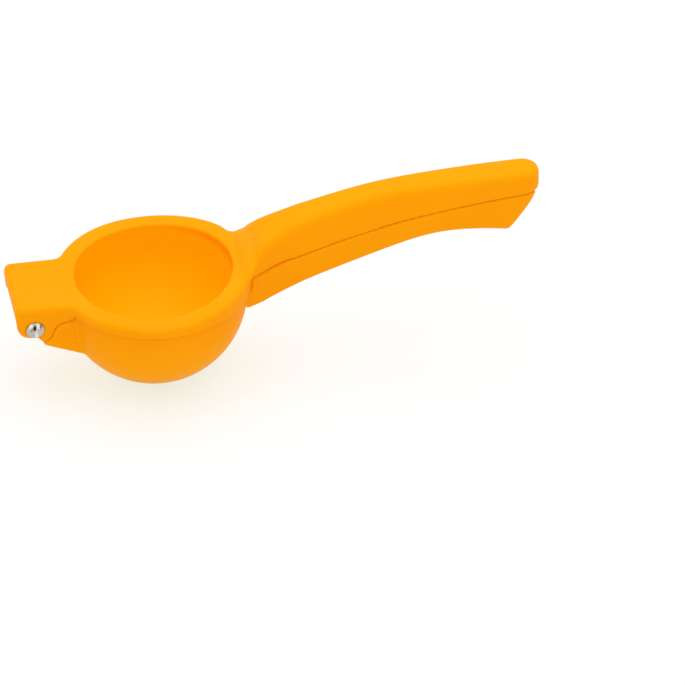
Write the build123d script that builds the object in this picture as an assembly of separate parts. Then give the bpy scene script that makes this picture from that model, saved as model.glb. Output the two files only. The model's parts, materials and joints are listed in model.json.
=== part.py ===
"""Hinged lemon squeezer: two cast arms joined by one riveted pin.

The lower arm carries the strainer bowl, the upper arm carries the press cup.
The upper arm is a hood over the hinge, a round rim and a grip in one casting.
While the pieces are made, Z = 0 is the flat upper face of the rim and X = Y = 0
is the axis of the bowl. The grip runs towards +X and the hinge lies at -X.
The finished pieces are moved so that the origin is the bottom centre of the whole.
All lengths are millimetres and all angles are degrees.
"""
from build123d import *
import os
from math import cos, hypot, radians, sin, sqrt, tan

# Rim of the upper arm
rim_radius = 38.0
rim_thickness = 4.8
rim_edge_round = 2.1
rim_rise = 4.5
rim_level_length = 8.0

# Strainer bowl of the lower arm
rim_overhang = 1.8
bowl_wall = 2.8
bowl_straight_depth = 3.3
hole_radius = 2.95
hole_circle_radius = 13.8
ring_hole_count = 6

# Press cup of the upper arm
press_gap = 1.0
press_wall = 2.6
press_mouth_flare = 0.7
press_mouth_round = 0.9

# Clearance between the two castings where they lie on each other
seam_gap = 0.35

# Hood over the hinge
hood_reach = 17.9
hood_half_width = 16.4
hood_plate = 3.1
hood_corner_round = 2.6
hood_neck_round = 4.0
ear_wall = 3.4
end_wall = 2.6
end_wall_drop = 7.5
end_wall_draft = 0.8
pocket_bite = 1.0
skirt_depth = 7.2
skirt_reach = 4.0
skirt_end_reach = 8.5

# Ears that hold the pin
pin_reach = 10.5
pin_drop = 9.9
ear_below_pin = 3.7
ear_heel_round = 5.3
ear_foot_half_length = 1.5
ear_lobe_start = 58.0
ear_lobe_end = 5.0
ear_slope_reach = 9.8
ear_slope_top = 8.3
ear_corner_round = 1.2

# Knuckle and shoulder of the lower arm
knuckle_radius = 4.4
shoulder_heel = (0.9, -7.0)
shoulder_neck = (-0.4, -4.0)
shoulder_fall = 22.2
shoulder_inset = 12.0
shoulder_heel_round = 1.4
shoulder_edge_round = 1.5

# Hinge pin
pin_radius = 2.5
pin_bore_clearance = 0.05
pin_seat_clearance = 0.02
head_radius = 3.5
head_thickness = 1.2
head_edge_round = 0.25
head_pocket_depth = 1.0
head_pocket_clearance = 0.15
dimple_radius = 2.3
dimple_floor_radius = 0.4
dimple_depth = 0.8

# Root of the grip, on the rim. Each place is a distance outwards from the rim's edge
ramp_crest = [(-6.0, 0.0), (-4.7, 3.8), (-2.0, 7.8), (0.45, 11.5), (4.5, 14.7)]
ramp_plan = [(-9.0, 19.6), (-5.0, 16.4), (-2.2, 13.2), (1.9, 10.9)]
ramp_edge_reach = 5.0
web_plan = [(-7.9, 21.2), (-4.7, 18.2), (-2.0, 15.3), (0.55, 12.3), (2.2, 11.0)]
web_crest = [(-5.7, 2.6), (-4.7, 3.5), (-3.3, 4.7), (-2.0, 6.4), (-0.7, 8.3), (0.55, 10.2), (2.2, 11.8)]

# Grip beyond its root. Each place along it is a share of its length, from the rim's edge
grip_length = 112.5
grip_plan = [(0.062, 9.6), (0.124, 8.9), (0.23, 8.2), (0.41, 7.5), (0.66, 7.2)]
grip_tip_half_width = 7.0
grip_tip_round = 6.6
grip_crest = [(0.107, 17.6), (0.24, 22.0), (0.418, 27.0), (0.64, 30.3), (0.818, 31.5)]
grip_tip_crest = 32.0
grip_seam = [(-0.036, 0.9), (0.018, 0.7), (0.071, 2.4), (0.151, 5.4), (0.284, 9.8), (0.462, 14.8),
             (0.64, 18.5), (0.818, 21.1)]
grip_tip_seam = 22.9
grip_belly = [(-0.071, -15.4), (0.0, -14.0), (0.062, -11.7), (0.151, -7.6), (0.284, -2.5),
              (0.462, 3.8), (0.64, 8.5), (0.747, 8.6)]
belly_tip_setback = 12.8
belly_tip_z = 6.3
lower_tip_setback = 1.4
crest_edge_round = 2.5
belly_edge_round = 2.2
keel_section = [(40.0, 0.0), (17.0, -9.7), (15.0, -10.8), (10.6, -11.9), (8.0, -13.6), (5.0, -16.0)]

# Hollows of the grip, which open towards each other
grip_wall = 3.2
grip_skin = 3.4
hollow_root = 7.0

# Derived sizes
bowl_radius = rim_radius - rim_overhang
bowl_inner_radius = bowl_radius - bowl_wall
press_radius = bowl_inner_radius - press_gap
press_inner_radius = press_radius - press_wall
press_mouth_radius = press_inner_radius + press_mouth_flare
bowl_top = -rim_thickness - seam_gap
bowl_centre = bowl_top - bowl_straight_depth
bowl_bottom = bowl_centre - sqrt(bowl_radius**2 - hole_radius**2)
hood_end = -rim_radius - hood_reach
pin_x = -rim_radius - pin_reach
grip_end = rim_radius + grip_length
ear_inner = hood_half_width - ear_wall
lug_half_width = ear_inner - seam_gap
pocket_end = -rim_radius + pocket_bite
head_seat = hood_half_width - head_pocket_depth
ear_bottom = -pin_drop - ear_below_pin
ear_sweep = hypot(hood_reach - pin_reach, ear_heel_round - ear_below_pin)
tall = 200.0
small = 0.01


def along_grip(points):
    """Points given by their share of the grip's length, moved to the bowl's axis."""
    return [(rim_radius + share * grip_length, across) for share, across in points]


def from_rim(points):
    """Points given by their distance outwards from the rim's edge, moved to the bowl's axis."""
    return [(rim_radius + reach, across) for reach, across in points]


def outline_of(*edges):
    """A flat face inside a closed chain of edges."""
    return make_face(Wire(list(edges)))


def polygon(*points):
    """A flat face inside straight sides."""
    return make_face(Polyline(*points, close=True))


def round_corner(outline, corner, radius):
    """The outline with one corner rounded, named by a point near it."""
    nearest = outline.vertices().sort_by_distance(corner)[0]
    return fillet(nearest, radius)


def side_prism(outline, half_width):
    """A side view, stood upright and thickened equally to both sides."""
    return extrude(Plane.XZ * outline, amount=half_width, both=True)


def upright(outline, bottom, top):
    """A plan view, raised from one height to another."""
    return extrude(Pos(0, 0, bottom) * outline, amount=top - bottom)


def disc(radius, bottom, top):
    """A round block on the bowl's axis, between two heights."""
    return upright(Circle(radius), bottom, top)


def block(low, high):
    """A rectangular block between two corners."""
    size = [b - a for a, b in zip(low, high)]
    return Pos(*low) * Box(*size, align=(Align.MIN, Align.MIN, Align.MIN))


def cross_rod(radius, start, end):
    """A round rod on the pin's axis, between two places along Y."""
    side = Plane.XZ.offset(-start) * Pos(pin_x, -pin_drop) * Circle(radius)
    return extrude(side, amount=start - end)


def half_ball(radius, centre_z, top):
    """A solid half ball with a straight wall from its middle up to a height."""
    ball = Pos(0, 0, centre_z) * Sphere(radius)
    lower_half = ball & disc(radius + 1, centre_z - radius - 1, centre_z)
    return lower_half + disc(radius, centre_z, top)


def round_pin(radius, below):
    """A point round the pin in side view, by its angle below level on the bowl's side."""
    return (pin_x + radius * cos(radians(below)), -pin_drop - radius * sin(radians(below)))


# ---- Outlines shared by the two arms ----

def grip_plan_outline(root, inset):
    """Plan of the grip: two curved sides that widen from a given root, and a rounded tip."""
    tip_x = grip_end - inset
    side = from_rim(root) + along_grip(grip_plan) + [(tip_x, grip_tip_half_width)]
    side = [(x, y - inset) for x, y in side]
    near_side = [(x, -y) for x, y in side]
    outline = outline_of(
        Spline(*side),
        Line(side[-1], near_side[-1]),
        Spline(*reversed(near_side)),
        Line(near_side[0], side[0]),
    )
    tip_corners = outline.vertices().sort_by(Axis.X)[-2:]
    return fillet(tip_corners, grip_tip_round - inset)


def seam_line(shift):
    """The line where the two halves of the grip meet, moved up or down."""
    points = along_grip(grip_seam) + [(grip_end, grip_tip_seam)]
    return [(x, z + shift) for x, z in points]


def hood_plan_outline():
    """Plan of the hood, from its end to under the rim."""
    plate = polygon(
        (hood_end, -hood_half_width),
        (0, -hood_half_width),
        (0, hood_half_width),
        (hood_end, hood_half_width),
    )
    end_corners = plate.vertices().sort_by(Axis.X)[:2]
    return fillet(end_corners, hood_corner_round)


def hood_side_outline():
    """Side view of the hood: the ear with its lobe round the pin, and the skirt up to the rim."""
    foot = (pin_x + ear_foot_half_length, ear_bottom)
    lobe_start = round_pin(ear_sweep, ear_lobe_start)
    lobe_end = round_pin(ear_sweep, ear_lobe_end)
    slope_top = (pin_x + ear_slope_reach, -ear_slope_top)
    skirt_foot = (-rim_radius + skirt_reach, -skirt_depth)
    inner_x = -rim_radius + skirt_end_reach
    heel = (hood_end + end_wall_draft, ear_bottom)
    lobe_middle = round_pin(ear_sweep, (ear_lobe_start + ear_lobe_end) / 2)
    straight_sides = Polyline(
        lobe_end,
        slope_top,
        skirt_foot,
        (inner_x, -rim_thickness),
        (inner_x, 0),
        (hood_end, 0),
        heel,
        foot,
        lobe_start,
    )
    outline = outline_of(*straight_sides.edges(), ThreePointArc(lobe_start, lobe_middle, lobe_end))
    outline = round_corner(outline, heel, ear_heel_round)
    outline = round_corner(outline, lobe_start, ear_corner_round)
    return round_corner(outline, slope_top, ear_corner_round)


# ---- Upper arm ----

def rim_side_outline():
    """Side view of the rim and hood: level from the hinge to the bowl, then rising to the grip."""
    level_end = (-rim_level_length, 0)
    rise_end = (rim_radius, rim_rise)
    low_tip = (rim_radius, -rim_thickness)
    low_root = (hood_end, -rim_thickness)
    return outline_of(
        Line((hood_end, 0), level_end),
        TangentArc(level_end, rise_end, tangent=(1, 0)),
        Line(rise_end, low_tip),
        Line(low_tip, low_root),
        Line(low_root, (hood_end, 0)),
    )


def on_mouth(edge):
    """Whether both ends of an edge lie on the wall of the press cup's mouth."""
    ends = (edge.start_point(), edge.end_point())
    return all(abs(hypot(end.X, end.Y) - press_mouth_radius) < small for end in ends)


def rim_plate():
    """The rim and the hood's plate in one slab, rounded along its upper edge."""
    plan = Circle(rim_radius) + hood_plan_outline()
    neck_corners = plan.vertices().filter_by(lambda v: -rim_radius < v.X < -rim_radius / 2)
    plan = fillet(neck_corners, hood_neck_round)
    slab = upright(plan, -rim_thickness, rim_rise) & side_prism(rim_side_outline(), tall)
    upper_edges = slab.edges().filter_by(lambda e: e.center().Z > -rim_edge_round)
    outer_edges = upper_edges.filter_by(lambda e: abs(e.center().X + rim_level_length) > 1)
    slab = fillet(outer_edges, rim_edge_round) - disc(press_mouth_radius, -tall, tall)
    mouth_edges = slab.edges().filter_by(lambda e: -1 < e.center().Z)
    mouth_edges = mouth_edges.filter_by(on_mouth)
    return fillet(mouth_edges, press_mouth_round)


def hood():
    """Rim and hood together: end wall, ears and skirt, open underneath for the knuckle."""
    plan = upright(hood_plan_outline(), -tall, -rim_edge_round)
    skirt = side_prism(hood_side_outline(), tall) & plan
    shell = rim_plate() + (skirt - disc(bowl_radius + seam_gap, -tall, -rim_thickness))
    wall_x = hood_end + end_wall
    shell -= block((wall_x, -ear_inner, -tall), (pocket_end, ear_inner, -hood_plate))
    shell -= block((hood_end, -ear_inner, -tall), (pocket_end, ear_inner, -end_wall_drop))
    return shell - block((pocket_end, -ear_inner, -tall), (0, ear_inner, -rim_thickness))


def press_hollow():
    """Inside of the press cup, wider at its mouth."""
    throat_radius = sqrt(press_inner_radius**2 - rim_thickness**2)
    ball = Sphere(press_inner_radius) & disc(press_radius, -press_radius, -rim_thickness)
    mouth = Pos(0, 0, -rim_thickness / 2) * Cone(throat_radius, press_mouth_radius, rim_thickness)
    return ball + mouth


def under(line, bottom):
    """Side view of all that lies under a curved line, down to a height."""
    tip = (line[-1][0], bottom)
    root = (line[0][0], bottom)
    return outline_of(Spline(*line), Line(line[-1], tip), Line(tip, root), Line(root, line[0]))


def crest_side(skin):
    """Side view of all that lies under the crest, less a skin, down to below the rim's edge."""
    crest = from_rim(ramp_crest) + along_grip(grip_crest) + [(grip_end, grip_tip_crest)]
    return under([(x, z - skin) for x, z in crest], -skin - rim_edge_round)


def web():
    """The flare that widens the upper grip into the rim, lower than the crest."""
    far_side = from_rim(web_plan)
    near_side = [(x, -y) for x, y in reversed(far_side)]
    plan = outline_of(
        Spline(*far_side),
        Line(far_side[-1], near_side[0]),
        Spline(*near_side),
        Line(near_side[-1], far_side[0]),
    )
    return side_prism(under(from_rim(web_crest), -rim_edge_round), tall) & upright(plan, -tall, tall)


def grip_hollow(side, bottom, top):
    """Inside of one half of the grip, from its root wall to its tip wall."""
    plan = upright(grip_plan_outline(ramp_plan, grip_wall), bottom, top)
    plan &= block((rim_radius + hollow_root, -tall, bottom), (grip_end, tall, top))
    return side_prism(side, tall) & plan


def upper_grip():
    """Upper half of the grip: a channel that opens downwards, with a ramp up from the rim."""
    grip = side_prism(crest_side(0), tall) & upright(grip_plan_outline(ramp_plan, 0), -tall, tall)
    crest = grip.faces().sort_by(lambda f: f.normal_at(None).Z * f.area)[-1]
    crest_edges = crest.edges().filter_by(lambda e: e.center().X > rim_radius - ramp_edge_reach)
    grip = fillet(crest_edges, crest_edge_round) + web()
    below_seam = side_prism(under(seam_line(seam_gap / 2), -tall), tall)
    grip -= below_seam - disc(rim_radius, -tall, tall)
    return grip - grip_hollow(crest_side(grip_skin), 0, tall)


def press_arm():
    """Hood, rim, press cup and upper grip in one casting."""
    arm = hood() + upper_grip() + half_ball(press_radius, 0, -rim_edge_round)
    arm -= press_hollow()
    arm -= cross_rod(pin_radius + pin_seat_clearance, -tall, tall)
    pocket_radius = head_radius + head_pocket_clearance
    arm -= cross_rod(pocket_radius, head_seat, tall)
    return arm - cross_rod(pocket_radius, -tall, -head_seat)


# ---- Lower arm ----

def lower_grip_side(skin, rise):
    """Side view of the lower grip, above a skin and up to a rise over its seam face."""
    seam = seam_line(rise - seam_gap / 2)
    seam[-1] = (grip_end - lower_tip_setback - skin, seam[-1][1])
    tip = (grip_end - belly_tip_setback - skin, belly_tip_z + skin)
    belly = [(x, z + skin) for x, z in along_grip(grip_belly)] + [tip]
    return outline_of(
        Spline(*seam),
        Line(seam[-1], tip),
        Spline(*reversed(belly)),
        Line(belly[0], seam[0]),
    )


def keel():
    """A long wedge whose section trims the lower corners of the grip where it widens."""
    side = [(-y, z) for y, z in reversed(keel_section)]
    section = polygon(*keel_section, *side, (-keel_section[0][0], tall), (keel_section[0][0], tall))
    return extrude(Plane.YZ * section, amount=tall)


def lower_grip():
    """Lower half of the grip: a channel that opens upwards, cut off at a slant."""
    grip = side_prism(lower_grip_side(0, 0), tall) & upright(grip_plan_outline(web_plan, 0), -tall, tall)
    belly_edges = grip.edges().filter_by(lambda e: e.length > grip_length * 0.8)
    belly_edges = belly_edges.filter_by(lambda e: abs(e.center().Y) > 1).sort_by(Axis.Z)[:2]
    grip = fillet(belly_edges, belly_edge_round) & keel()
    grip -= disc(rim_radius + seam_gap, bowl_top, tall)
    return grip - grip_hollow(lower_grip_side(grip_skin, grip_skin), -tall, tall)


def knuckle_side(top):
    """Side view of the hinge end of the lower arm, up to a height under the hood."""
    neck = (pin_x + shoulder_neck[0], -pin_drop + shoulder_neck[1])
    heel = (pin_x + shoulder_heel[0], -pin_drop + shoulder_heel[1])
    inner_x = -rim_radius + shoulder_inset
    inner_z = heel[1] - (inner_x - heel[0]) * tan(radians(shoulder_fall))
    outline = polygon(
        (neck[0], top),
        neck,
        heel,
        (inner_x, inner_z),
        (inner_x, bowl_top),
        (pocket_end - seam_gap, bowl_top),
        (pocket_end - seam_gap, top),
    )
    return round_corner(outline, heel, shoulder_heel_round)


def knuckle():
    """Narrow lug between the ears, rounded about the pin."""
    lug = side_prism(knuckle_side(-hood_plate - seam_gap), lug_half_width)
    return lug + cross_rod(knuckle_radius, -lug_half_width, lug_half_width)


def shoulder():
    """Full-width block up to the bowl, cut to the hood's underside and the sweep of the ears."""
    body = side_prism(knuckle_side(bowl_top + seam_gap), hood_half_width)
    body &= disc(tall, -tall, bowl_top)
    lower_edges = body.faces().filter_by(lambda f: f.normal_at(None).Z < -0.5).edges()
    side_edges = lower_edges.filter_by(lambda e: abs(e.center().Y) > hood_half_width - 1)
    body = fillet(side_edges, shoulder_edge_round)
    body -= cross_rod(ear_sweep + seam_gap, -tall, tall)
    return body - side_prism(offset(hood_side_outline(), seam_gap), tall)


def strainer_holes():
    """One hole at the bottom of the bowl and a ring of holes round it."""
    holes = Circle(hole_radius)
    for place in PolarLocations(hole_circle_radius, ring_hole_count, start_angle=30):
        holes += place * Circle(hole_radius)
    return upright(holes, bowl_bottom - 1, bowl_centre)


def strainer_arm():
    """Strainer bowl, knuckle and lower grip in one casting."""
    arm = half_ball(bowl_radius, bowl_centre, bowl_top) + knuckle() + shoulder() + lower_grip()
    arm -= half_ball(bowl_inner_radius, bowl_centre, bowl_top)
    arm -= strainer_holes()
    return arm - cross_rod(pin_radius + pin_bore_clearance, -tall, tall)


# ---- Pin ----

def hinge_pin():
    """Rivet through both ears: a plain head, and a formed head with a dimple."""
    face = head_seat + head_thickness
    pin = cross_rod(pin_radius, -head_seat, head_seat)
    pin += cross_rod(head_radius, head_seat, face)
    pin += cross_rod(head_radius, -face, -head_seat)
    rims = pin.edges().filter_by(lambda e: abs(e.center().Y) > face - head_edge_round)
    pin = fillet(rims, head_edge_round)
    dimple_place = Plane.XZ.offset(face - dimple_depth / 2) * Pos(pin_x, -pin_drop)
    return pin - dimple_place * Cone(dimple_floor_radius, dimple_radius, dimple_depth)


# ---- All pieces, moved to the common origin ----

os.makedirs("parts", exist_ok=True)
to_origin = Pos(-(hood_end + grip_end) / 2, 0, -bowl_bottom)
pieces = {"strainer_arm": strainer_arm(), "press_arm": press_arm(), "hinge_pin": hinge_pin()}
for name, piece in pieces.items():
    export_step(to_origin * piece, f"parts/{name}.step")
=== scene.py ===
import json
import math

import bpy
from mathutils import Matrix, Vector
from mathutils.bvhtree import BVHTree

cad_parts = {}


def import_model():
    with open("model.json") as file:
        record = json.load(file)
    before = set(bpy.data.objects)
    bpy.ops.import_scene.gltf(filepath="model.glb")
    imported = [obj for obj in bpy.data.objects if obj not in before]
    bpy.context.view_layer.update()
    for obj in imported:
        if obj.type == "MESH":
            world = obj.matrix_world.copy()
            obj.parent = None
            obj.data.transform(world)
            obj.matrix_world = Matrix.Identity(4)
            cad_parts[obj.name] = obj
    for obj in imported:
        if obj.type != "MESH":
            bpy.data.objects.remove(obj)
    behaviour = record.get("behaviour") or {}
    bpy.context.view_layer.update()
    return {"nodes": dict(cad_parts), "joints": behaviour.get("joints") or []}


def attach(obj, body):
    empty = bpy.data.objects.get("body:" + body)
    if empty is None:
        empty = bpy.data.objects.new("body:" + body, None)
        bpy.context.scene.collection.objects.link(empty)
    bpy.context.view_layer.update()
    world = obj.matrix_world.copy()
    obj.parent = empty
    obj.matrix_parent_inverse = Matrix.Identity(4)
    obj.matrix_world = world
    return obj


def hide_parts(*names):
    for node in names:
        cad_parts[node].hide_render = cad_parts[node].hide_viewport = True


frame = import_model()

# The looks of a hinged lemon squeezer: two enamelled castings and a steel rivet.
# All lengths are metres. The grip runs from the bowl towards +X, and the hinge lies at -X.

# The bowl's axis and the rim's upper face, found from the hinge's axis
HINGE_TO_BOWL = 0.0485
HINGE_UNDER_RIM = 0.0099
hinge_x, _, hinge_z = frame["joints"][0]["pos_m"]
BOWL_AXIS_X = round(hinge_x + HINGE_TO_BOWL, 5)
RIM_Z = round(hinge_z + HINGE_UNDER_RIM, 5)

# Round forms on the bowl's axis
RIM_RADIUS = 0.0380
BOWL_RADIUS = 0.0362
BOWL_CENTRE_Z = RIM_Z - 0.00845

# Side view: distances from the bowl's axis, and heights over the rim's face
CREST_LINE = (
    (0.050, 0.0176), (0.065, 0.0220), (0.085, 0.0270), (0.110, 0.0303), (0.130, 0.0315), (0.1505, 0.0320),
)
SEAM_LINE = (
    (0.046, 0.0024), (0.055, 0.0054), (0.070, 0.0098), (0.090, 0.0148), (0.110, 0.0185), (0.130, 0.0211),
    (0.1505, 0.0229),
)
LOWER_TIP = (0.1377, 0.00627)
SHOULDER_HEEL = (-0.0476, -0.01693)

# How far the sides of the upper grip lean in at the crest, and how far the crest is raised
CREST_LEAN = 0.0015
CREST_RISE = 0.0015
CREST_START = 0.042
TIP_LEAN = 0.4

# Root of the grip: where its plain side wall starts in plan, how that wall is turned, and how far
# the wall's lower corner is let down
ROOT_CORNER = (0.0402, 0.0110)
ROOT_TURN = math.radians(16.0)
ROOT_DROP = 0.0018

# Blocks that cut the castings back to that wall: their size, how far they run past the corner and
# over the rim's face, and how far they stay off the round forms
CUT_LENGTH = 0.013
CUT_WIDTH = 0.012
CUT_HEIGHT = 0.030
CUT_PAST_CORNER = 0.001
CUT_OVER_RIM = 0.002
CUT_CLEARANCE = 0.00005
UNDER_ALL = -0.01
OVER_ALL = 0.08

# Softening of the castings under their enamel: the grid that they are cut on, and smoothing passes
VOXEL = 0.00062
EDGE_PASSES = 5
NECK_PASSES = 80
CREST_PASSES = 16
HEEL_PASSES = 20
END_PASSES = 8
THROAT_PASSES = 40
TIP_PASSES = 16

# Seams between the castings: how far they are looked for, the gap that stays, and the space under
# the hood that stays open
SEAM_SEARCH = 0.0012
SEAM_LEFT = 0.00005
SEAM_PASSES = 24
HOOD_START = -0.030
HOOD_HALF_WIDTH = 0.0129

# Enamel: the two shades of its body, a lighter shade on sharp edges, and painted light in grooves, in the
# press cup, on the neck's ramp and under the bowl
BODY_DARK = (0.930, 0.322, 0.0006, 1.0)
BODY_LIGHT = (0.955, 0.338, 0.0012, 1.0)
LIGHTER_ON_EDGES = (0.985, 0.390, 0.0030, 1.0)
PAINTED_LIGHT_IN_GROOVES = (0.985, 0.420, 0.0012, 1.0)
PAINTED_LIGHT_IN_CUP = (0.938, 0.415, 0.0003, 1.0)
PAINTED_LIGHT_ON_NECK = (0.985, 0.405, 0.0012, 1.0)
PAINTED_LIGHT_UNDER_BOWL = (0.965, 0.405, 0.0006, 1.0)

# Steel: its clean and dull shades, and the turning rings in radians per metre
STEEL_CLEAN = (0.60, 0.56, 0.49, 1.0)
STEEL_DULL = (0.47, 0.42, 0.35, 1.0)
STEEL_RINGS = 26000.0

# Marks on the rivet's head, which are upright ovals: the place from the head's middle, where the
# mark starts and ends to fade, its strength, and its colour. The first three are painted highlights,
# the next two are dark spots, and the last is painted shade in the dimple
MARK_NARROWING = 6.0
RIVET_HIGHLIGHTS_AND_MARKS = (
    (-0.0016, 0.0022, 0.0010, 0.0024, 0.9, (0.95, 0.94, 0.92, 1.0)),
    (0.0011, 0.0020, 0.0010, 0.0022, 0.8, (0.92, 0.90, 0.86, 1.0)),
    (0.0004, -0.0020, 0.0006, 0.0022, 0.7, (0.90, 0.88, 0.84, 1.0)),
    (-0.0013, 0.0004, 0.0003, 0.0018, 0.75, (0.14, 0.14, 0.15, 1.0)),
    (0.0022, 0.0017, 0.0004, 0.0015, 0.85, (0.06, 0.05, 0.05, 1.0)),
    (-0.0001, 0.0009, 0.0012, 0.0019, 1.0, (0.012, 0.012, 0.010, 1.0)),
)

# Plain light: the level of the world, and a large soft lamp overhead
WORLD_LIGHT = 0.88
SOFTBOX_PLACE = (0.05, 0.1, 1.3)
SOFTBOX_AIM = (0.02, 0.0, 0.03)
SOFTBOX_SIZE = 1.4
SOFTBOX_POWER = 9.0

# Floor: its paint, and what is seen of it, which is a glow and a share of the light on it
FLOOR_SIZE = 12.0
FLOOR_PAINT = (0.90, 0.90, 0.87, 1.0)
FLOOR_SHADE = (0.22, 0.20, 0.29, 1.0)
FLOOR_GLOW = (0.757, 0.777, 0.665, 1.0)

# Camera: direction to it in degrees, distance, point that it looks at, and focal length in pixels
IMAGE_WIDTH = 685
CAMERA_AZIMUTH = 10.254
CAMERA_ELEVATION = 36.392
CAMERA_ROLL = -0.012
CAMERA_DISTANCE = 3.84896
CAMERA_TARGET = (0.0225955, -0.0222, 0.0176566)
CAMERA_REACH = 100.0
FOCAL_PIXELS = 10000
SENSOR_WIDTH = 36.0


# ---- Shader maths ----

class Value:
    """A number socket that takes part in plain arithmetic and adds its Math nodes."""

    def __init__(self, recipe, socket):
        self.recipe = recipe
        self.socket = socket

    def math(self, operation, first, second):
        return self.recipe.add("ShaderNodeMath", {"operation": operation}, {0: first, 1: second})

    def __add__(self, other):
        return self.math("ADD", self, other)

    def __radd__(self, other):
        return self.math("ADD", other, self)

    def __sub__(self, other):
        return self.math("SUBTRACT", self, other)

    def __rsub__(self, other):
        return self.math("SUBTRACT", other, self)

    def __mul__(self, other):
        return self.math("MULTIPLY", self, other)

    def __rmul__(self, other):
        return self.math("MULTIPLY", other, self)

    def __pow__(self, other):
        return self.math("POWER", self, other)


class Recipe:
    """A material or world node tree. Every node comes from add()."""

    def __init__(self, owner):
        owner.use_nodes = True
        self.tree = owner.node_tree
        self.tree.nodes.clear()

    def add(self, kind, settings=None, inputs=None, output=0):
        """One node: its settings first, then its sockets' values or links."""
        node = self.tree.nodes.new(kind)
        for name, value in (settings or {}).items():
            setattr(node, name, value)
        for name, value in (inputs or {}).items():
            socket = node.inputs[name]
            if isinstance(value, Value):
                self.tree.links.new(value.socket, socket)
            else:
                socket.default_value = value
        if not node.outputs:
            return node
        return Value(self, node.outputs[output])

    def place(self):
        """The place on the object, as a vector."""
        return self.add("ShaderNodeTexCoord", output="Object")

    def split(self, place):
        """The three numbers of a vector."""
        return [self.add("ShaderNodeSeparateXYZ", None, {"Vector": place}, output=axis) for axis in "XYZ"]

    def span(self, value, low, high, new_low, new_high):
        """A number carried from one range to another, and kept inside the new one."""
        return self.add("ShaderNodeMapRange", {"clamp": True}, {
            "Value": value, "From Min": low, "From Max": high, "To Min": new_low, "To Max": new_high,
        })

    def rise(self, value, start, end, top=1.0):
        """Zero up to the start, and the top from the end on."""
        return self.span(value, start, end, 0.0, top)

    def fall(self, value, start, end, top=1.0):
        """The top up to the start, and zero from the end on."""
        return self.span(value, start, end, top, 0.0)

    def larger(self, first, second):
        """The larger of two numbers."""
        return self.add("ShaderNodeMath", {"operation": "MAXIMUM"}, {0: first, 1: second})

    def noise(self, place, scale, detail, roughness):
        """Noise, its scale in waves per metre."""
        return self.add("ShaderNodeTexNoise", None, {
            "Vector": place, "Scale": scale, "Detail": detail, "Roughness": roughness,
        })

    def mix(self, factor, first, second):
        """A blend of two colours, whose sockets in the Mix node are 6 and 7."""
        return self.add("ShaderNodeMix", {"data_type": "RGBA"}, {0: factor, 6: first, 7: second}, output=2)

    def bump(self, height, distance, strength, normal=None):
        """A bump of a real height in metres, on top of another normal if there is one."""
        inputs = {"Height": height, "Distance": distance, "Strength": strength}
        if normal is not None:
            inputs["Normal"] = normal
        return self.add("ShaderNodeBump", None, inputs)


# ---- Materials ----

def rim_reach(recipe, place):
    """Distance from the centre of the rim's face, and height over that face."""
    x, y, z = recipe.split(place)
    along, over = x - BOWL_AXIS_X, z - RIM_Z
    return (along * along + y * y + over * over) ** 0.5, over


def enamel():
    """Orange-yellow enamel with a soft orange peel, lighter on sharp edges, and with painted light in
    grooves, in the cup, on the neck's ramp and under the bowl.
    """
    material = bpy.data.materials.new("enamel_orange")
    recipe = Recipe(material)
    place = recipe.place()
    clouds = recipe.noise(place, 38.0, 3.0, 0.55)
    peel = recipe.noise(place, 620.0, 2.0, 0.5)
    cast = recipe.noise(place, 95.0, 2.0, 0.5)
    sharpness = recipe.add("ShaderNodeNewGeometry", output="Pointiness")
    reach, over = rim_reach(recipe, place)
    # Where painted light goes: inside the press cup, on the neck's steep ramp, and under the bowl.
    cup_light = recipe.fall(reach, 0.0312, 0.0322) * recipe.fall(over, -0.0022, -0.0003)
    round_neck = recipe.rise(reach, 0.0320, 0.0340) * recipe.fall(reach, 0.0385, 0.0415)
    neck_light = round_neck * recipe.rise(over, 0.0044, 0.0066, 0.8)
    underside_light = recipe.fall(over, -0.040, -0.012) * recipe.rise(reach, 0.0325, 0.0345)

    coat = recipe.mix(recipe.rise(clouds, 0.35, 0.65), BODY_DARK, BODY_LIGHT)
    # A lighter colour on sharp edges.
    coat = recipe.mix(recipe.rise(sharpness, 0.515, 0.600, 0.45), coat, LIGHTER_ON_EDGES)
    # Painted light: a lighter colour in grooves and seams, where shade falls.
    coat = recipe.mix(recipe.fall(sharpness, 0.440, 0.492, 0.8), coat, PAINTED_LIGHT_IN_GROOVES)
    # Painted light inside the press cup, where shade falls.
    coat = recipe.mix(cup_light, coat, PAINTED_LIGHT_IN_CUP)
    # Painted light on the steep ramp of the neck, so that it looks as light as the top faces.
    coat = recipe.mix(neck_light, coat, PAINTED_LIGHT_ON_NECK)
    # Painted light under the bowl, standing in for light from the floor.
    coat = recipe.mix(underside_light, coat, PAINTED_LIGHT_UNDER_BOWL)

    waves = recipe.bump(cast, 0.00016, 0.35)
    shader = recipe.add("ShaderNodeBsdfPrincipled", None, {
        "Base Color": coat,
        "Roughness": recipe.span(peel * 0.4 + clouds * 0.6, 0.3, 0.7, 0.34, 0.42),
        "Specular IOR Level": 0.02,
        "Normal": recipe.bump(peel, 0.000012, 0.5, waves),
    })
    recipe.add("ShaderNodeOutputMaterial", None, {"Surface": shader})
    return material


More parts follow.
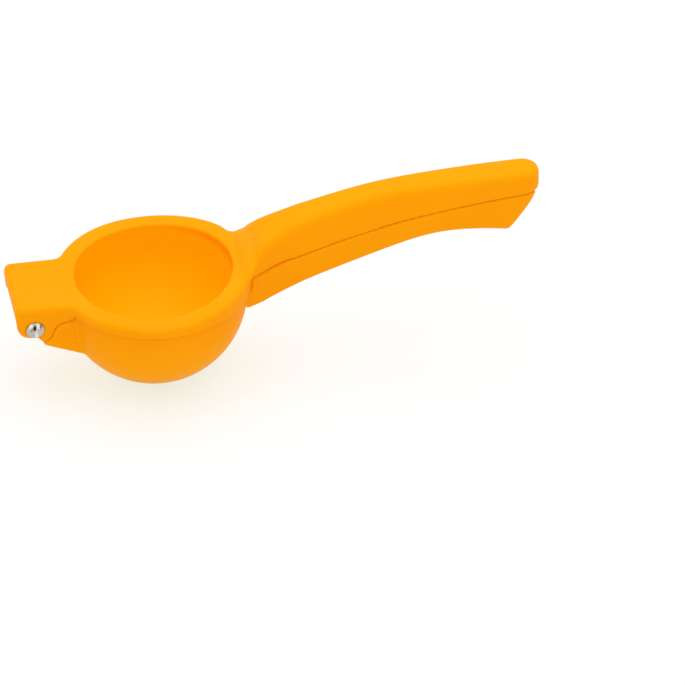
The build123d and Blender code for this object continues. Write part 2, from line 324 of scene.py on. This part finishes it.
def steel():
    """Worn bright steel of the rivet, with turning rings, painted highlights, two dark spots, and painted
    shade in its dimple.
    """
    material = bpy.data.materials.new("rivet_steel")
    recipe = Recipe(material)
    place = recipe.place()
    x, _, z = recipe.split(place)
    across, up = x - hinge_x, z - hinge_z
    outwards = (across * across + up * up) ** 0.5
    rings = recipe.add("ShaderNodeMath", {"operation": "SINE"}, {0: outwards * STEEL_RINGS})
    grime = recipe.noise(place, 700.0, 3.0, 0.6)
    scratches = recipe.noise(place, 2600.0, 2.0, 0.6)

    tone = recipe.mix(recipe.rise(grime, 0.35, 0.70), STEEL_CLEAN, STEEL_DULL)
    # Painted highlights, two dark spots, and painted shade in the dimple of the head.
    for mark_across, mark_up, start, end, strength, colour in RIVET_HIGHLIGHTS_AND_MARKS:
        aside, over = across - mark_across, up - mark_up
        away = (aside * aside * MARK_NARROWING + over * over) ** 0.5
        tone = recipe.mix(recipe.fall(away, start, end, strength), tone, colour)

    turned = recipe.bump(rings, 0.000008, 0.35)
    shader = recipe.add("ShaderNodeBsdfPrincipled", None, {
        "Base Color": tone,
        "Metallic": 1.0,
        "Roughness": recipe.span(grime * 0.5 + scratches * 0.5, 0.3, 0.7, 0.16, 0.32),
        "Normal": recipe.bump(scratches, 0.000006, 0.3, turned),
    })
    recipe.add("ShaderNodeOutputMaterial", None, {"Surface": shader})
    return material


# ---- Modelling tools ----

def only(piece):
    """Selects one object and makes it the active one."""
    bpy.ops.object.select_all(action="DESELECT")
    piece.select_set(True)
    bpy.context.view_layer.objects.active = piece


def apply_modifier(piece, kind, **settings):
    """Adds a modifier with its settings and applies it to the mesh."""
    only(piece)
    modifier = piece.modifiers.new(kind.lower(), kind)
    for name, value in settings.items():
        setattr(modifier, name, value)
    bpy.ops.object.modifier_apply(modifier=modifier.name)


def subtract(piece, body):
    """Cuts a body out of a piece."""
    apply_modifier(piece, "BOOLEAN", operation="DIFFERENCE", solver="EXACT", object=body)


def smooth(piece, passes, group=""):
    """Smooths a piece, or only the part that a vertex group weighs."""
    apply_modifier(piece, "SMOOTH", factor=0.5, iterations=passes, vertex_group=group)


def push(piece, direction, distance, group):
    """Moves the part that a vertex group weighs along an axis, or along its normals."""
    apply_modifier(
        piece, "DISPLACE", direction=direction, mid_level=0.0, strength=distance, vertex_group=group,
    )


def rise_between(value, start, end):
    """Zero at the start and one at the end, with a smooth rise between them."""
    share = min(max((value - start) / (end - start), 0.0), 1.0)
    return share * share * (3.0 - 2.0 * share)


def weigh(piece, name, weight_at):
    """A vertex group with the weights that weight_at gives, where they are over zero."""
    group = piece.vertex_groups.new(name=name)
    for vertex in piece.data.vertices:
        weight = weight_at(vertex)
        if weight > 0.0:
            group.add([vertex.index], min(weight, 1.0), "REPLACE")


def soften(piece, name, weight_at, passes):
    """Smooths part of a piece, by the weights that weight_at gives."""
    weigh(piece, name, weight_at)
    smooth(piece, passes, name)


def from_rim(place):
    """Distance along the grip from the bowl's axis, distance aside, and height over the rim's face."""
    return place.x - BOWL_AXIS_X, abs(place.y), place.z - RIM_Z


# ---- Castings, cut back beside the root of the grip ----

def cylinder(radius, bottom, top):
    """A round body on the bowl's axis, used only to shape a cutter."""
    bpy.ops.object.select_all(action="DESELECT")
    bpy.ops.mesh.primitive_cylinder_add(
        vertices=192, radius=radius, depth=top - bottom, location=(BOWL_AXIS_X, 0.0, (bottom + top) / 2),
    )
    return bpy.context.object


def ball(radius, height):
    """A ball on the bowl's axis, used only to shape a cutter."""
    bpy.ops.object.select_all(action="DESELECT")
    bpy.ops.mesh.primitive_uv_sphere_add(
        segments=192, ring_count=96, radius=radius, location=(BOWL_AXIS_X, 0.0, height),
    )
    return bpy.context.object


def cutter(side, round_bodies):
    """A block beside the root of the grip, hollowed by the round bodies that it has to spare."""
    along = Vector((math.cos(ROOT_TURN), -side * math.sin(ROOT_TURN), 0.0))
    outwards = Vector((math.sin(ROOT_TURN), side * math.cos(ROOT_TURN), 0.0))
    corner = Vector((
        BOWL_AXIS_X + ROOT_CORNER[0],
        side * ROOT_CORNER[1],
        RIM_Z + CUT_OVER_RIM - CUT_HEIGHT / 2,
    ))
    bpy.ops.object.select_all(action="DESELECT")
    bpy.ops.mesh.primitive_cube_add(
        size=1.0,
        location=corner + along * (CUT_PAST_CORNER - CUT_LENGTH / 2) + outwards * CUT_WIDTH / 2,
        rotation=(0.0, 0.0, -side * ROOT_TURN),
        scale=(CUT_LENGTH, CUT_WIDTH, CUT_HEIGHT),
    )
    block = bpy.context.object
    for body in round_bodies:
        subtract(block, body)
    return block


def casting(node, name, round_bodies):
    """A copy of a cast arm, cut back beside the root of the grip and re-cut on an even grid."""
    source = frame["nodes"][node]
    piece = bpy.data.objects.new(name, source.data.copy())
    bpy.context.scene.collection.objects.link(piece)
    piece.matrix_world = Matrix.Identity(4)
    piece.data.materials.clear()
    only(piece)
    bpy.ops.object.mode_set(mode="EDIT")
    bpy.ops.mesh.select_all(action="SELECT")
    bpy.ops.mesh.remove_doubles(threshold=0.000002)
    bpy.ops.object.mode_set(mode="OBJECT")
    for side in (-1, 1):
        block = cutter(side, round_bodies)
        subtract(piece, block)
        bpy.data.objects.remove(block)
    for body in round_bodies:
        bpy.data.objects.remove(body)
    apply_modifier(piece, "REMESH", mode="VOXEL", voxel_size=VOXEL, adaptivity=0.0)
    smooth(piece, EDGE_PASSES)
    return piece


# ---- Upper casting ----

def height_at(line, along):
    """Height of a side-view line at a distance from the bowl's axis."""
    for (start, low), (end, high) in zip(line, line[1:]):
        if along <= end:
            return low + (high - low) * (along - start) / (end - start)
    return line[-1][1]


def crest_share(place):
    """Zero at the seam of the grip and one at its crest, and less towards the root and the tip."""
    along, _, over = from_rim(place)
    if along < CREST_START:
        return 0.0
    seam, crest = height_at(SEAM_LINE, along), height_at(CREST_LINE, along)
    share = min(max((over - seam) / (crest - seam), 0.0), 1.0)
    past_root = rise_between(along, CREST_START, 0.058)
    towards_tip = rise_between(along, 0.075, 0.150)
    return share * past_root * (1.0 - (1.0 - TIP_LEAN) * towards_tip)


def crest_edges(vertex):
    """Weight of the long edges of the crest."""
    return rise_between(crest_share(vertex.co), 0.35, 0.75)


def crest_height(vertex):
    """Weight of the part that rises with the crest, which is less towards the tip."""
    along, _, _ = from_rim(vertex.co)
    return crest_share(vertex.co) * rise_between(along, 0.150, 0.075)


def lean_sides(piece):
    """Lets the sides of the upper grip lean in towards a slightly higher crest."""
    for side, name in ((1, "left"), (-1, "right")):
        def leaning(vertex):
            return crest_share(vertex.co) * rise_between(side * vertex.co.y, 0.0, 0.005)

        weigh(piece, name, leaning)
        push(piece, "Y", -side * CREST_LEAN, name)
    weigh(piece, "higher", crest_height)
    push(piece, "Z", CREST_RISE, "higher")


def grip_end(vertex):
    """Weight of the free end of either half of the grip."""
    along, _, _ = from_rim(vertex.co)
    return rise_between(along, 0.126, 0.132)


def grip_root(vertex):
    """Weight of the root of the upper grip, where it grows out of the rim."""
    along, aside, over = from_rim(vertex.co)
    at_root = rise_between(along, 0.028, 0.033) * rise_between(along, 0.058, 0.046)
    near_grip = rise_between(aside, 0.025, 0.018)
    outside_mouth = rise_between(math.hypot(along, aside), 0.0318, 0.0338)
    over_face = rise_between(over, 0.0005, 0.0028)
    return at_root * near_grip * outside_mouth * over_face


def cup_throat(vertex):
    """Weight of the throat of the press cup, under its mouth."""
    along, aside, over = from_rim(vertex.co)
    inside_mouth = rise_between(math.hypot(along, aside), 0.0322, 0.0316)
    return inside_mouth * rise_between(over, -0.012, -0.009) * rise_between(over, -0.0008, -0.0022)


def press_casting():
    """Rim, hood, press cup and the upper half of the grip."""
    piece = casting("press_arm", "press_casting", [cylinder(RIM_RADIUS + CUT_CLEARANCE, UNDER_ALL, OVER_ALL)])
    lean_sides(piece)
    soften(piece, "end", grip_end, END_PASSES)
    soften(piece, "crest", crest_edges, CREST_PASSES)
    soften(piece, "root", grip_root, NECK_PASSES)
    soften(piece, "throat", cup_throat, THROAT_PASSES)
    return piece


# ---- Lower casting ----

def root_corner(vertex):
    """Weight of the lower corner of the grip's side wall, at the bowl."""
    along, aside, over = from_rim(vertex.co)
    off_bowl = math.hypot(along, aside, vertex.co.z - BOWL_CENTRE_Z) - BOWL_RADIUS
    at_root = rise_between(along, 0.020, 0.024) * rise_between(along, 0.0425, 0.0335)
    return at_root * rise_between(over, -0.004, -0.009) * rise_between(off_bowl, 0.0001, 0.0007)


def near_corner(vertex, corner):
    """Weight near a corner in side view."""
    along, _, over = from_rim(vertex.co)
    return rise_between(math.hypot(along - corner[0], over - corner[1]), 0.0045, 0.0020)


def lower_tip(vertex):
    """Weight of the lower corner at the end of the lower grip."""
    return near_corner(vertex, LOWER_TIP)


def shoulder_heel(vertex):
    """Weight of the outer corner of the shoulder, under the ears."""
    return near_corner(vertex, SHOULDER_HEEL)


def strainer_casting():
    """Strainer bowl, knuckle, shoulder and the lower half of the grip."""
    piece = casting("strainer_arm", "strainer_casting", [
        cylinder(BOWL_RADIUS + CUT_CLEARANCE, BOWL_CENTRE_Z, OVER_ALL),
        ball(BOWL_RADIUS + CUT_CLEARANCE, BOWL_CENTRE_Z),
    ])
    weigh(piece, "corner", root_corner)
    push(piece, "Z", -ROOT_DROP, "corner")
    smooth(piece, EDGE_PASSES, "corner")
    soften(piece, "end", grip_end, END_PASSES)
    soften(piece, "tip", lower_tip, TIP_PASSES)
    soften(piece, "heel", shoulder_heel, HEEL_PASSES)
    return piece


# ---- Seams and finish ----

def close_seams(piece, other):
    """Raises one casting's seam faces almost to the other casting."""
    other_skin = BVHTree.FromPolygons(
        [vertex.co for vertex in other.data.vertices],
        [polygon.vertices for polygon in other.data.polygons],
    )

    def towards_other(vertex):
        along, aside, _ = from_rim(vertex.co)
        found, _, _, distance = other_skin.find_nearest(vertex.co, SEAM_SEARCH)
        under_hood = along < HOOD_START and aside < HOOD_HALF_WIDTH
        if found is None or under_hood or distance < SEAM_LEFT:
            return 0.0
        facing = vertex.normal.dot(found - vertex.co) / distance
        return rise_between(facing, 0.3, 0.8) * (distance - SEAM_LEFT) / SEAM_SEARCH

    weigh(piece, "seam", towards_other)
    push(piece, "NORMAL", SEAM_SEARCH, "seam")
    smooth(piece, SEAM_PASSES, "seam")


def dress(piece, body, node, material):
    """Gives a piece its finish and its body, and hides the CAD node that it stands for."""
    piece.data.materials.append(material)
    only(piece)
    bpy.ops.object.shade_smooth()
    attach(piece, body)
    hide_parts(node)


def rivet():
    """The CAD rivet keeps its shape and gets its finish."""
    bright = steel()
    for slot in frame["nodes"]["hinge_pin"].material_slots:
        slot.material = bright


# ---- Floor, light and camera ----

def seen_rays(recipe):
    """One for rays from the camera, and for mirrored or refracted ones."""
    camera_ray, glossy_ray, transmission_ray = [
        recipe.add("ShaderNodeLightPath", output=name)
        for name in ("Is Camera Ray", "Is Glossy Ray", "Is Transmission Ray")
    ]
    return recipe.larger(recipe.larger(camera_ray, glossy_ray), transmission_ray)


def floor():
    """A wide pale floor. What is seen of it is white, with a soft light shadow."""
    bpy.ops.object.select_all(action="DESELECT")
    bpy.ops.mesh.primitive_plane_add(size=FLOOR_SIZE, location=(0, 0, 0))
    ground = bpy.context.object
    ground.name = "floor"
    material = bpy.data.materials.new("floor_white")
    recipe = Recipe(material)
    paint = recipe.add("ShaderNodeBsdfDiffuse", None, {"Color": FLOOR_PAINT})
    shade = recipe.add("ShaderNodeBsdfDiffuse", None, {"Color": FLOOR_SHADE})
    glow = recipe.add("ShaderNodeEmission", None, {"Color": FLOOR_GLOW, "Strength": 1.0})
    backdrop = recipe.add("ShaderNodeAddShader", None, {0: shade, 1: glow})
    surface = recipe.add("ShaderNodeMixShader", None, {0: seen_rays(recipe), 1: paint, 2: backdrop})
    recipe.add("ShaderNodeOutputMaterial", None, {"Surface": surface})
    ground.data.materials.append(material)


def world():
    """White where it is seen, and a plain soft light elsewhere."""
    sky = bpy.data.worlds.new("studio")
    bpy.context.scene.world = sky
    recipe = Recipe(sky)
    strength = seen_rays(recipe) * (1.0 - WORLD_LIGHT) + WORLD_LIGHT
    glow = recipe.add("ShaderNodeBackground", None, {"Color": (1.0, 1.0, 1.0, 1.0), "Strength": strength})
    recipe.add("ShaderNodeOutputWorld", None, {"Surface": glow})


def overhead_softbox():
    """A square area light over the squeezer."""
    lamp = bpy.data.lights.new("overhead_softbox", "AREA")
    lamp.shape = "SQUARE"
    lamp.size = SOFTBOX_SIZE
    lamp.energy = SOFTBOX_POWER
    holder = bpy.data.objects.new("overhead_softbox", lamp)
    bpy.context.scene.collection.objects.link(holder)
    holder.location = SOFTBOX_PLACE
    direction = Vector(SOFTBOX_AIM) - Vector(SOFTBOX_PLACE)
    holder.rotation_euler = direction.to_track_quat("-Z", "Y").to_euler()


def camera():
    """A long lens that looks down at the squeezer from its front."""
    azimuth, elevation = math.radians(CAMERA_AZIMUTH), math.radians(CAMERA_ELEVATION)
    towards = Vector((
        -math.sin(azimuth) * math.cos(elevation),
        -math.cos(azimuth) * math.cos(elevation),
        math.sin(elevation),
    ))
    data = bpy.data.cameras.new("camera")
    data.sensor_width = SENSOR_WIDTH
    data.lens = FOCAL_PIXELS / IMAGE_WIDTH * SENSOR_WIDTH
    data.clip_end = CAMERA_REACH
    holder = bpy.data.objects.new("camera", data)
    bpy.context.scene.collection.objects.link(holder)
    roll = Matrix.Rotation(math.radians(CAMERA_ROLL), 3, "Z")
    turn = (-towards).to_track_quat("-Z", "Y").to_matrix() @ roll
    place = Vector(CAMERA_TARGET) + towards * CAMERA_DISTANCE
    holder.matrix_world = Matrix.Translation(place) @ turn.to_4x4()
    bpy.context.scene.camera = holder


upper = press_casting()
lower = strainer_casting()
close_seams(lower, upper)
close_seams(upper, lower)
orange = enamel()
dress(upper, "upper_arm", "press_arm", orange)
dress(lower, "lower_arm", "strainer_arm", orange)
rivet()
floor()
world()
overhead_softbox()
camera()
bpy.context.scene.view_settings.view_transform = "Standard"
